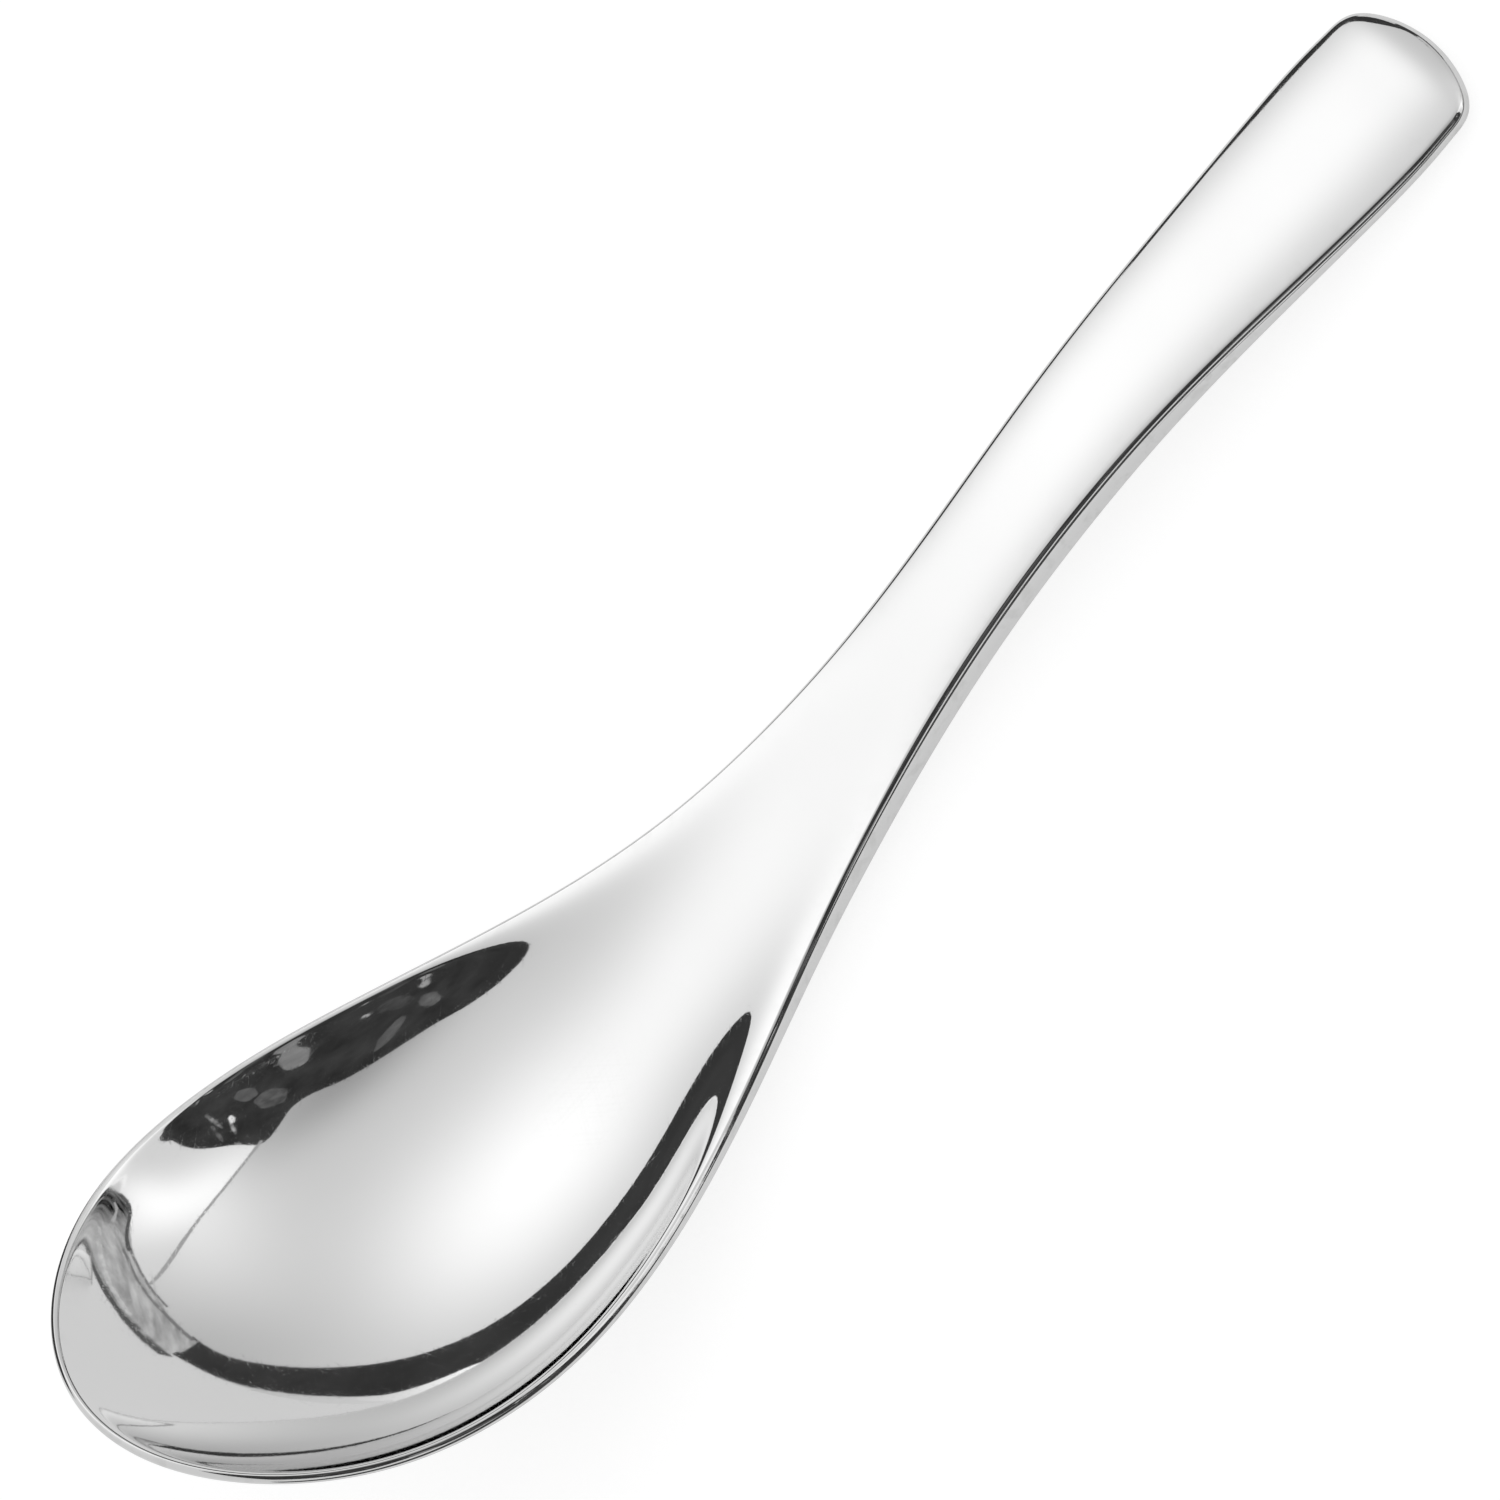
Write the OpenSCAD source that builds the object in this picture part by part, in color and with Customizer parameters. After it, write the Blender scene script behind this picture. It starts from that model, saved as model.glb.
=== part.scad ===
// Soup spoon with a deep egg-shaped bowl and a thick, gently crowned handle, in millimetres.
// The real spoon is blanked, rolled and pressed out of one piece of steel, so it is one solid.
// It lies as it would on a table: +Z is up and the handle points along +X. The origin is at
// table height, below the middle of the spoon's box.

/* [Bowl] */
// Length from the tip of the bowl to the place where the handle begins
bowl_length = 73.4; // [60:0.2:86]
// Width of the bowl where it is widest
bowl_width = 46.9; // [38:0.1:56]
// Depth of the hollow below the rim
bowl_depth = 10.1; // [7:0.1:13]
// Fullness of the hollow's cross-section in degrees, from a shallow curve to a round one
bowl_fullness = 66; // [30:1:75]
// Height of the tip above the lowest place of the rim line, along the drawn side view
tip_rise = 15.4; // [9:0.1:20]
// Width of the flat land on top of the rim, inside its worn edge
rim_land = 0.3; // [0.2:0.05:0.6]
// Thickness of the rim
rim_thickness = 1; // [0.8:0.05:1.4]
// Width of the worn edge outside the land, which slopes down almost like a bevel
rim_bevel = 0.75; // [0.3:0.05:0.85]
// Radius of the rim's lower edge
rim_radius = 0.2; // [0.1:0.05:0.3]
// Thickness of the bowl's floor
floor_thickness = 1.3; // [1:0.05:2]

/* [Handle] */
// Length from the end of the bowl to the end of the handle
handle_length = 90.7; // [76:0.1:110]
// Width of the handle at its waist
waist_width = 11.9; // [9:0.1:15]
// Width of the handle just before its rounded end
end_width = 17; // [13:0.1:21]
// Height of the handle's end above the lowest place of the rim line, along the drawn side view
handle_rise = 13.8; // [9:0.1:18]
// Thickness of the handle's edge at its waist, where the spoon is thickest
neck_thickness = 3.5; // [2.6:0.1:4.2]
// Thickness of the handle's edge at its end
end_thickness = 2.1; // [1.7:0.1:3]
// Height of the crown across the top of the handle
crown_height = 1.5; // [0.5:0.05:2]
// Radius of the handle's rounded edges
edge_radius = 1.1; // [0.5:0.05:1.3]
// Width of the border between the handle's crown and its rounded edge
edge_land = 0.2; // [0.1:0.05:0.4]

/* [Smoothness] */
// Stations along each stretch of the outline
stretch_steps = 5; // [4:1:6]

/* [Hidden] */

spoon_length = bowl_length + handle_length;
bowl_half = bowl_width / 2;
waist_half = waist_width / 2;
end_half = end_width / 2;

// The plan outline is a smooth curve drawn towards the points of a net, which lies on one side of
// the spoon's centre line. The net's points stand at shares of the lengths and half widths. The
// second point is so far along that the outline is evenly round at the tip.
tip_share = 0.0366;
even_tip_share = 5.5;
bowl_along_shares = [tip_share, even_tip_share * tip_share, 0.4587, 0.761, 1];
handle_along_shares = [0.2377, 0.49, 0.6668, 0.888, 0.9434, 0.9812];
bowl_half_shares = [0.5275, 0.982, 1.042, 0.689];
waist_half_shares = [1.529, 0.937, 1.031, 1.21];
end_half_shares = [1.033, 0.972, 0.977];
net_x = [
    for (share = bowl_along_shares) share * bowl_length,
    for (share = handle_along_shares) bowl_length + share * handle_length
];
net_y = [
    for (share = bowl_half_shares) share * bowl_half,
    for (share = waist_half_shares) share * waist_half,
    for (share = end_half_shares) share * end_half
];
last = len(net_x) - 1;

// The net is mirrored across the centre line at both ends. Its points on the line are set so that
// the outline crosses the line exactly at the tip and at the handle's end.
tip_point = [-net_x[0] / 2, 0];
end_point = [(6 * spoon_length - 2 * net_x[last]) / 4, 0];
net = [
    [net_x[0], -net_y[0]],
    tip_point,
    for (i = [0:last]) [net_x[i], net_y[i]],
    end_point,
    [net_x[last], -net_y[last]]
];
stretches = len(net) - 3;

// Height of the rim and handle line along the drawn side view: the first values are shares of the
// tip's rise and the others are shares of the handle's rise, evenly spaced along the spoon.
tip_rise_shares = [1.435, 1.033, 0.445, 0.045];
handle_rise_shares = [-0.054, 0.214, 0.63, 0.964, 0.95, 1, 1.03];
line_net = [
    for (share = tip_rise_shares) share * tip_rise,
    for (share = handle_rise_shares) share * handle_rise
];

// Thickness at the edge, evenly spaced along the spoon: the rim keeps one gauge, the neck swells
// towards the waist, and the handle is rolled thinner towards its end.
function mix(a, b, share) = a + (b - a) * share;
swell_shares = [0, 0, 0, 0, 0.28, 0.68, 1.04];
taper_shares = [0, 0.93, 1, 1];
edge_net = [
    for (share = swell_shares) mix(rim_thickness, neck_thickness, share),
    for (share = taper_shares) mix(neck_thickness, end_thickness, share)
];

// Depth of the hollow's middle, as shares of its greatest depth, evenly spaced along the spoon: it
// is deepest towards the tip and runs out in the neck.
hollow_shares = [0.828, 1.112, 1.093, 0.946, 0.772, 0.184, 0.004, 0, 0, 0, 0];

// The crown and the handle's rounder edges fade in from the end of the bowl.
crown_end_share = 0.42;
crown_end = bowl_length + crown_end_share * handle_length;

// Value at t on the smooth curve of a net, with t counting the net's stretches
function curve(points, t) =
    let (i = max(0, min(floor(t), len(points) - 4)))
    let (u = t - i)
    let (a = pow(1 - u, 3))
    let (b = 3 * pow(u, 3) - 6 * pow(u, 2) + 4)
    let (c = -3 * pow(u, 3) + 3 * pow(u, 2) + 3 * u + 1)
    (a * points[i] + b * points[i + 1] + c * points[i + 2] + pow(u, 3) * points[i + 3]) / 6;

// Direction of the curve at t
function heading(points, t) =
    let (i = max(0, min(floor(t), len(points) - 4)))
    let (u = t - i)
    let (a = -pow(1 - u, 2))
    let (b = 3 * pow(u, 2) - 4 * u)
    let (c = -3 * pow(u, 2) + 2 * u + 1)
    (a * points[i] + b * points[i + 1] + c * points[i + 2] + pow(u, 2) * points[i + 3]) / 2;

// Values along the spoon
function along(points, x) = curve(points, (len(points) - 3) * max(0, min(x / spoon_length, 1)));
function ease(share) =
    let (s = max(0, min(share, 1)))
    pow(s, 3) * (10 + s * (6 * s - 15));
function line_height(x) = along(line_net, x);
function edge_thickness(x) = along(edge_net, x);
function hollow(x) = along(hollow_shares, x);
function crown(x) = ease((x - bowl_length) / (crown_end - bowl_length));
lower_round_share = 0.47;
both_rounds_share = 0.96;
function lower_rounding(x) =
    min(mix(rim_radius, edge_radius, crown(x)), lower_round_share * edge_thickness(x));
function rounding(x) =
    min(mix(rim_bevel, edge_radius, crown(x)), both_rounds_share * edge_thickness(x) - lower_rounding(x));
function land(x) = mix(rim_land, edge_land, crown(x));

// The top edge is an arc where its power is one, as on the handle, and nearly a straight bevel
// where the power is higher, as on the rim.
bevel_power = 1.5;
function edge_power(x) = mix(bevel_power, 1, crown(x));

// Depth share of the hollow where the squared distance inside its edge, as a share of the widest
// half width squared, is g: nothing on the edge, one in the middle of the bowl
function bowl_share(g) =
    let (c = cos(bowl_fullness))
    (sqrt(c * c + (1 - c * c) * g) - c) / (1 - c);

// Heights of the top and of the underside at a place, with g as above
function top_height(x, g) =
    line_height(x) - bowl_depth * hollow(x) * bowl_share(g)
    + crown_height * crown(x) * g * pow(bowl_half / end_half, 2);
outer_depth = bowl_depth + floor_thickness - rim_thickness;
function under_height(x, g) =
    line_height(x) - edge_thickness(x) - outer_depth * hollow(x) * bowl_share(g);

// A profile runs out from the centre line over the top, round the rounded edges and back to the
// centre line along the underside.
across_steps = 9;
top_steps = 4;
lower_steps = 3;
side_steps = stretch_steps * stretches;

// The half width of a row at a step across: the steps are closer together towards the rim
function across(step) = sin(90 * step / across_steps);

// Tilt of the crown at its edge. It is the same at the handle's end as shortly before it.
pole_gap_share = 0.02;
function edge_tilt(t) =
    let (u = max(pole_gap_share, min(t, stretches - pole_gap_share)))
    let (p = curve(net, u))
    let (d = heading(net, u))
    atan(2 * crown_height * crown(p.x) * p.y * norm(d) / (d.x * pow(end_half, 2)));

// Point of a row that runs straight across the top or the underside, from the outline's point p
// drawn in along the outward direction n
function top_point(p, n, tilt, step) =
    let (q = p - n * (rounding(p.x) * (1 - pow(sin(tilt), edge_power(p.x))) + land(p.x)))
    let (y = q.y * across(step))
    [q.x, y, top_height(q.x, (q.y * q.y - y * y) / pow(bowl_half, 2))];
function under_point(p, n, step) =
    let (q = p - n * lower_rounding(p.x))
    let (y = q.y * across(step))
    [q.x, y, under_height(q.x, (q.y * q.y - y * y) / pow(bowl_half, 2))];

// Points round the top edge, from the land to the flank, and round the lower edge. The top edge
// starts at the crown's tilt.
function top_round(p, n, tilt, step) =
    let (r = rounding(p.x))
    let (k = edge_power(p.x))
    let (angle = mix(tilt, 90, step / top_steps))
    let (q = p - n * r * (1 - pow(sin(tilt), k)))
    let (o = p - n * r * (1 - pow(sin(angle), k)))
    let (drop = r * (pow(cos(tilt), k) - pow(cos(angle), k)))
    [o.x, o.y, line_height(q.x) - land(p.x) * tan(tilt) - drop];
function under_round(p, n, step) =
    let (r = lower_rounding(p.x))
    let (angle = 90 * step / lower_steps)
    let (q = p - n * r)
    let (o = p - n * r * (1 - sin(angle)))
    [o.x, o.y, under_height(q.x, 0) + r * (1 - cos(angle))];

// Whole profile at one station of the outline, at side +1 or -1
function profile(station, side) =
    let (t = station / stretch_steps)
    let (p = curve(net, t))
    let (d = heading(net, t))
    let (n = [-d.y, d.x] / norm(d))
    let (tilt = edge_tilt(t))
    let (points = [
        for (step = [0:across_steps]) top_point(p, n, tilt, step),
        for (step = [0:top_steps]) top_round(p, n, tilt, step),
        for (step = [lower_steps:-1:0]) under_round(p, n, step),
        for (step = [across_steps - 1:-1:0]) under_point(p, n, step)
    ])
    [for (q = points) [q.x, side * q.y, q.z]];

// Rows go once round the spoon: from the tip along one side, over the end and back
row_count = 2 * side_steps;
rows = [
    for (i = [0:row_count - 1])
        i <= side_steps ? profile(i, 1) : profile(row_count - i, -1)
];
profile_count = len(rows[0]);

// Number of a row's point in the list of points: rows meet on the centre line, and at the tip
// and the end the whole width of the top and of the underside is one point
function pole(i) = i == 0 || i == side_steps;
function point_number(row, k) =
    let (i = row % row_count)
    let (on_line = k == 0 || k == profile_count - 1)
    let (j = on_line && i > side_steps ? row_count - i : i)
    let (m = pole(j) && k < across_steps ? across_steps : k)
    let (under = profile_count - 1 - across_steps)
    let (l = pole(j) && m > under ? under : m)
    j * profile_count + l;
function triangle(a, b, c) = a == b || b == c || c == a ? [] : [[a, b, c]];
function patch(i, k) =
    let (a = point_number(i, k))
    let (b = point_number(i + 1, k))
    let (c = point_number(i + 1, k + 1))
    let (d = point_number(i, k + 1))
    i < side_steps
        ? concat(triangle(a, c, b), triangle(a, d, c))
        : concat(triangle(a, d, b), triangle(b, d, c));

// The drawn side view is turned until the bowl's underside and the handle's end touch the table
// at the same height.
drawn = [for (row = rows) each row];
belly = [for (row = rows) if (row[0].x < bowl_length) row[profile_count - 1]];
heel = [for (row = rows) if (row[0].x > crown_end) row[profile_count - 1]];
function lowest(points, angle) = min([for (p = points) p.z * cos(angle) - p.x * sin(angle)]);
function lying_angle(low, high, tries) =
    let (middle = (low + high) / 2)
    tries == 0
        ? middle
        : lowest(belly, middle) < lowest(heel, middle)
            ? lying_angle(middle, high, tries - 1)
            : lying_angle(low, middle, tries - 1);
steepest_lie = 30;
halvings = 30;
lie = lying_angle(0, steepest_lie, halvings);
turned = [for (p = drawn) [p.x * cos(lie) + p.z * sin(lie), p.y, p.z * cos(lie) - p.x * sin(lie)]];
all_x = [for (p = turned) p.x];
middle_x = (min(all_x) + max(all_x)) / 2;
table_z = min([for (p = turned) p.z]);

module spoon() {
    color("gainsboro")
        translate([-middle_x, 0, -table_z])
            polyhedron(
                points = turned,
                faces = [for (i = [0:row_count - 1]) for (k = [0:profile_count - 2]) each patch(i, k)],
                convexity = 6
            );
}

spoon();
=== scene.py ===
# %% [markdown]
# # A mirror-polished soup spoon
#
# The whole object is one pressed piece of stainless steel. What makes it look real is not the
# number of its parts but the flow of its surface, because a mirror shows every bend of it. So the
# lesson is about one smooth surface, the fine wear on it, and the room that it reflects.
#
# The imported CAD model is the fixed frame. Lengths in the formulas are millimetres, as on a
# drawing, and become metres when the mesh is made.

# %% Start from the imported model
import math

import bpy
import numpy as np
from mathutils import Matrix, Vector


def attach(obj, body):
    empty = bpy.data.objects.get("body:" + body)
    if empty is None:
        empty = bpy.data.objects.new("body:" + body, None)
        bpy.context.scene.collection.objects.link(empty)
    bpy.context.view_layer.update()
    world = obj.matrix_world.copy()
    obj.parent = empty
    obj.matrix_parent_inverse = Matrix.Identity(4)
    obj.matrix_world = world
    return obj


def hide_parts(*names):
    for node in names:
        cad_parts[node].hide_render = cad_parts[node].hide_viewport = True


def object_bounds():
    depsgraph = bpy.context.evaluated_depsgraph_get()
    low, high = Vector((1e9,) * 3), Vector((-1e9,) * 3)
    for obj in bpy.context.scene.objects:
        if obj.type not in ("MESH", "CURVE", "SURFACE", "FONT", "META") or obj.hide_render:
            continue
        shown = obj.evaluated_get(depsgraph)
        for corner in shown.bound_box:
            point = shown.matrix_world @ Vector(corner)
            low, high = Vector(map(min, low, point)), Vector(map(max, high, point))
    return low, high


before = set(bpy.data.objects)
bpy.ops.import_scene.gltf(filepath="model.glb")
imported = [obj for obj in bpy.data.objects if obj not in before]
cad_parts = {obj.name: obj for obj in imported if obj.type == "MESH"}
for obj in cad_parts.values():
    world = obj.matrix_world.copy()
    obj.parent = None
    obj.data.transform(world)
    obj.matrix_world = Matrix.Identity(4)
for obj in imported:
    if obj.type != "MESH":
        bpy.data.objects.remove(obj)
box_low, box_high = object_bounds()
cad_box = [list(box_low), list(box_high)]
print("CAD box, mm:", [[round(v * 1000, 2) for v in corner] for corner in cad_box])

# %% [markdown]
# ## Sizes
#
# A spoon is drawn from three lines: the outline seen from above, the height of its edge seen from
# the side, and the thickness of that edge. Each line is a smooth curve pulled towards a few
# points, its net. The sizes below are the ones that the solid model was drawn with, so that the
# fine surface lies close to the solid.

# %% Sizes in millimetres
MM = 0.001
BOWL_LENGTH, BOWL_WIDTH, BOWL_DEPTH, FULLNESS = 73.4, 46.9, 10.1, 66
RIM_LAND, RIM_RADIUS, RIM_THICKNESS, FLOOR_THICKNESS = 0.3, 0.2, 1.0, 1.3
HANDLE_LENGTH, WAIST_WIDTH, END_WIDTH = 90.7, 11.9, 17.0
TIP_RISE, HANDLE_RISE = 15.4, 13.8
NECK_THICKNESS, END_THICKNESS = 3.5, 2.1
CROWN_HEIGHT, EDGE_RADIUS, EDGE_LAND = 1.5, 1.1, 0.2
CROWN_END_SHARE = 0.42
LENGTH = BOWL_LENGTH + HANDLE_LENGTH
CROWN_END = BOWL_LENGTH + CROWN_END_SHARE * HANDLE_LENGTH
HALF = BOWL_WIDTH / 2
print("drawn length", round(LENGTH, 1), "mm")

# %% [markdown]
# ### Nets
#
# The points of each net stand at shares of these sizes, so the drawing follows when a size
# changes. The outline's net is mirrored at both ends, and its points on the centre line are set
# so that the curve crosses the line exactly at the tip and at the handle's end. The other nets
# are evenly spaced along the spoon and give one number each: height, thickness, or depth.

# %% Net of the outline
TIP_SHARE, EVEN_TIP = 0.0366, 5.5
bowl_along = np.array([TIP_SHARE, EVEN_TIP * TIP_SHARE, 0.4587, 0.761, 1])
handle_along = np.array([0.2377, 0.49, 0.6668, 0.888, 0.9434, 0.9812])
bowl_half = np.array([0.5275, 0.982, 1.042, 0.689])
waist_half = np.array([1.529, 0.937, 1.031, 1.21])
end_half = np.array([1.033, 0.972, 0.977])
net_x = np.concatenate([bowl_along * BOWL_LENGTH, BOWL_LENGTH + handle_along * HANDLE_LENGTH])
net_y = np.concatenate([bowl_half * BOWL_WIDTH, waist_half * WAIST_WIDTH, end_half * END_WIDTH]) / 2
tip_point = [-net_x[0] / 2, 0]
end_point = [(6 * LENGTH - 2 * net_x[-1]) / 4, 0]
outline_net = np.concatenate([
    [[net_x[0], -net_y[0]], tip_point],
    np.stack([net_x, net_y], 1),
    [end_point, [net_x[-1], -net_y[-1]]],
])
print("outline net:", len(outline_net), "points")

# %% Nets of height, thickness and depth
line_net = np.concatenate([
    np.array([1.435, 1.033, 0.445, 0.045]) * TIP_RISE,
    np.array([-0.054, 0.214, 0.63, 0.964, 0.95, 1, 1.03]) * HANDLE_RISE,
])
swell = np.array([0, 0, 0, 0, 0.28, 0.68, 1.04])
taper = np.array([0, 0.93, 1, 1])
edge_net = np.concatenate([
    RIM_THICKNESS + (NECK_THICKNESS - RIM_THICKNESS) * swell,
    NECK_THICKNESS + (END_THICKNESS - NECK_THICKNESS) * taper,
])
hollow_net = np.array([0.828, 1.112, 1.093, 0.946, 0.772, 0.184, 0.004, 0, 0, 0, 0])
print("height, thickness and depth:", len(line_net), "points each")

# %% [markdown]
# ## Smooth curves
#
# Each stretch of the curve blends four neighbouring points of the net with cubic weights that
# always add up to one. Place, direction and bend all run on unbroken from stretch to stretch,
# which a mirror needs: a jump in bend would show as a kink in every reflection that crosses it.

# %% Curve of a net
def curve(net, t):
    """Place at t on the net's smooth curve: four neighbours weighted (1-u)^3, 3u^3-6u^2+4,
    -3u^3+3u^2+3u+1 and u^3, over 6, where u is how far t is into its stretch."""
    i = np.clip(np.floor(t).astype(int), 0, len(net) - 4)
    u = t - i
    weights = [(1 - u) ** 3, 3 * u**3 - 6 * u**2 + 4, -3 * u**3 + 3 * u**2 + 3 * u + 1, u**3]
    if net.ndim > 1:
        weights = [w[..., None] for w in weights]
    return sum(w * net[i + k] for k, w in enumerate(weights)) / 6


def heading(net, t):
    """Direction of that curve at t, from the weights' slopes."""
    i = np.clip(np.floor(t).astype(int), 0, len(net) - 4)
    u = t - i
    slopes = [-((1 - u) ** 2), 3 * u**2 - 4 * u, -3 * u**2 + 2 * u + 1, u**2]
    return sum(w[..., None] * net[i + k] for k, w in enumerate(slopes)) / 2


def along(net, x):
    """Value at x of a net whose points are evenly spaced along the spoon."""
    return curve(net, (len(net) - 3) * np.clip(x / LENGTH, 0, 1))


def ease(share):
    """Runs from 0 to 1 with no jump in slope or bend: s^3 (10 - 15 s + 6 s^2)."""
    s = np.clip(share, 0, 1)
    return s**3 * (10 + s * (6 * s - 15))


# %% [markdown]
# ## Heights
#
# The hollow is deepest where a place is furthest inside the edge. Its depth follows a share of a
# circle's arc, so the floor is round and the walls meet the rim at a steady slope. The hollow
# fades out over the neck, and a slight crown fades in along the handle.
#
# The press leaves no knife edge where the hollow meets the flat land of the rim, and polishing
# rounds it more. That lip is softened by letting the distance inside the edge fade in gradually
# instead of starting sharply from nothing. Round the bowl the lip is narrow. Towards the neck,
# where the hollow runs out, it grows into a wide soft roll. The handle's crown is a flat arch: a
# flat top mirrors one even patch of sky, and the tone changes only near the edges.

# %% Values along the spoon
LOWER_ROUND_SHARE, BOTH_ROUNDS_SHARE = 0.47, 0.96
FINE_BEVEL, BEVEL_POWER = 0.5, 1.5
LIP, NECK_LIP = 0.13, 0.65
ROLL_START, ROLL_END = 44.0, 64.0
NECK_FULLNESS = 57


def hollow(x):
    """Depth of the hollow's middle, as a share of its greatest depth."""
    return along(hollow_net, x)


def crown(x):
    """How much of the handle's crown there is: none on the bowl, all of it from CROWN_END."""
    return ease((x - BOWL_LENGTH) / (CROWN_END - BOWL_LENGTH))


def roll(x):
    """How much of the wide roll at the neck there is."""
    return ease((x - ROLL_START) / (ROLL_END - ROLL_START))


def lower_rounding(x):
    """Radius of the lower edge, less where the edge is too thin for it."""
    wanted = RIM_RADIUS + (EDGE_RADIUS - RIM_RADIUS) * crown(x)
    return np.minimum(wanted, LOWER_ROUND_SHARE * along(edge_net, x))


def rounding(x):
    """Radius of the upper edge, so that both roundings fit in the edge's thickness."""
    wanted = FINE_BEVEL + (EDGE_RADIUS - FINE_BEVEL) * crown(x)
    return np.minimum(wanted, BOTH_ROUNDS_SHARE * along(edge_net, x) - lower_rounding(x))


def edge_power(x):
    """The upper edge is an arc at power 1, as on the handle, and nearly a bevel above it."""
    return BEVEL_POWER + (1 - BEVEL_POWER) * crown(x)


def land_width(x):
    """Width of the flat land between the rounding and the lip."""
    return RIM_LAND + (EDGE_LAND - RIM_LAND) * crown(x)


def lip_width(x):
    """Width over which the hollow's wall rolls into the land."""
    return LIP + (NECK_LIP - LIP) * roll(x)


# %% Heights of the top and the underside
FAR = 30
LEAST_LEFT = 0.3
CROWN_POWER, CROWN_SHARE = 1.3, 0.8
FULL_CROWN = CROWN_SHARE * CROWN_HEIGHT * (BOWL_WIDTH / END_WIDTH) ** 2
OUTER_DEPTH = BOWL_DEPTH + FLOOR_THICKNESS - RIM_THICKNESS


def depth_share(x, g):
    """Share of the full depth at g, the squared distance inside the edge over the squared half
    width: (sqrt(c^2 + (1 - c^2) g) - c) / (1 - c), with c the cosine of the fullness. The walls
    lean out more towards the neck, so the fullness is less there."""
    c = np.cos(np.radians(FULLNESS + (NECK_FULLNESS - FULLNESS) * roll(x)))
    return (np.sqrt(c * c + (1 - c * c) * g) - c) / (1 - c)


def fade_in(g, step):
    """g where it is well above nothing, and fading to zero over about one step below: the
    formula is step log(1 + e^(g / step))."""
    ratio = np.clip(g / step, -FAR, FAR)
    return np.where(g / step > FAR, g, step * np.log1p(np.exp(ratio)))


def inside(x, g, centre, per_mm):
    """The distance inside the edge, g, rolled in over the lip. A wide lip starts two lip widths
    further in, and the wall is stretched so that the centre line keeps its depth."""
    step = per_mm * lip_width(x)
    shift = 2 * (step - per_mm * LIP)
    return fade_in(g - shift, step) * centre / np.maximum(centre - shift, LEAST_LEFT * centre)


def arch(share):
    """The crown's cross-section, 1 - (1 - share)^1.3 from edge to centre line, and a straight
    line of the same slope outside the edge."""
    within = 1 - (1 - np.clip(share, 0, 1)) ** CROWN_POWER
    return np.where(share > 0, within, CROWN_POWER * share)


def top_height(x, g, centre, per_mm):
    """Edge line, less the hollow, plus the handle's crown."""
    share = depth_share(x, inside(x, g, centre, per_mm))
    line = along(line_net, x) - BOWL_DEPTH * hollow(x) * share
    return line + FULL_CROWN * centre * crown(x) * arch(np.minimum(g / centre, 1))


def under_height(x, g):
    """Edge line, less the edge's thickness and the outside of the bowl."""
    return along(line_net, x) - along(edge_net, x) - OUTER_DEPTH * hollow(x) * depth_share(x, g)


# %% [markdown]
# ## Profiles
#
# The surface is a function of two parameters. One goes round the outline and picks a station. The
# other goes round the spoon's cross-section there: from the centre line out over the top, across
# the land, round the edge, down the flank, round the lower edge, and back along the underside.
# The steps across are closer together towards the rim, where the surface turns fastest.

# %% Whole profiles at stations of the outline
ACROSS, LAND_STEPS, ROUND, FLANK = 44, 5, 7, 5
STRETCHES = len(outline_net) - 3
SIDE = 24 * STRETCHES
QUARTER = np.radians(90)
TINY, LEAST_ACROSS = 1e-6, 1e-4


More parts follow.
